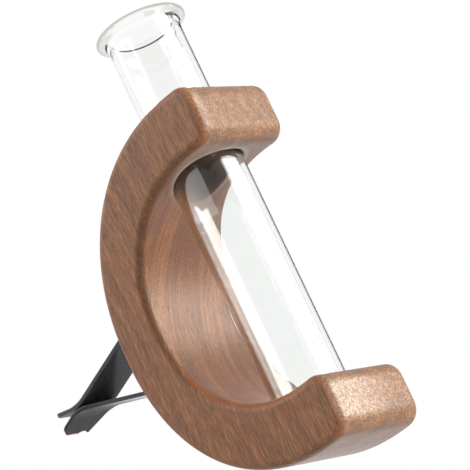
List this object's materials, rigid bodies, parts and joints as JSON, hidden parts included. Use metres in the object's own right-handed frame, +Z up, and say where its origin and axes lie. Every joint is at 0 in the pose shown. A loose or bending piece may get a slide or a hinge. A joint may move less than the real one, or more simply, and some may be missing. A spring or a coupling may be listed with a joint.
{
  "type": "car vent bud vase",
  "caption": "Half-ring walnut holder carrying a rimmed glass test tube upright, with a folded black spring clip on its back that grips a car vent blade.",
  "frame": {"origin": "grip point of the vent clip, midway between the closed jaws and midway across the holder", "axes": "+Z up along the glass tube as it stands in use, +Y into the vent, from the holder towards the clip's tips, +X across the holder's thickness"},
  "size_m": [0.028, 0.087, 0.113],
  "materials": {
    "walnut": "oiled satin",
    "clear_glass": "clear, fire polished",
    "black_steel": "satin black paint on spring steel",
    "screw_steel": "black oxide, satin"
  },
  "bodies": {
    "holder": {"wood_holder": "walnut", "clip_base": "black_steel", "clip_screw": "screw_steel"},
    "tube": {"glass_tube": "clear_glass"},
    "upper_arm": {"clip_upper_arm": "black_steel"},
    "lower_arm": {"clip_lower_arm": "black_steel"}
  },
  "joints": [
    {"name": "tube_lift", "type": "slide", "parent": "holder", "child": "tube", "axis": [0, 0, 1], "range_m": [0, 0.085]},
    {"name": "upper_arm_spring", "type": "hinge", "parent": "holder", "child": "upper_arm", "pos_m": [0, -0.02469, 0.0079], "axis": [1, 0, 0], "range_deg": [0, 8], "stiffness_Nm_per_rad": 0.3, "springref_deg": -5.73},
    {"name": "lower_arm_spring", "type": "hinge", "parent": "holder", "child": "lower_arm", "pos_m": [0, -0.02469, -0.0079], "axis": [-1, 0, 0], "range_deg": [0, 8], "stiffness_Nm_per_rad": 0.3, "springref_deg": -5.73}
  ]
}
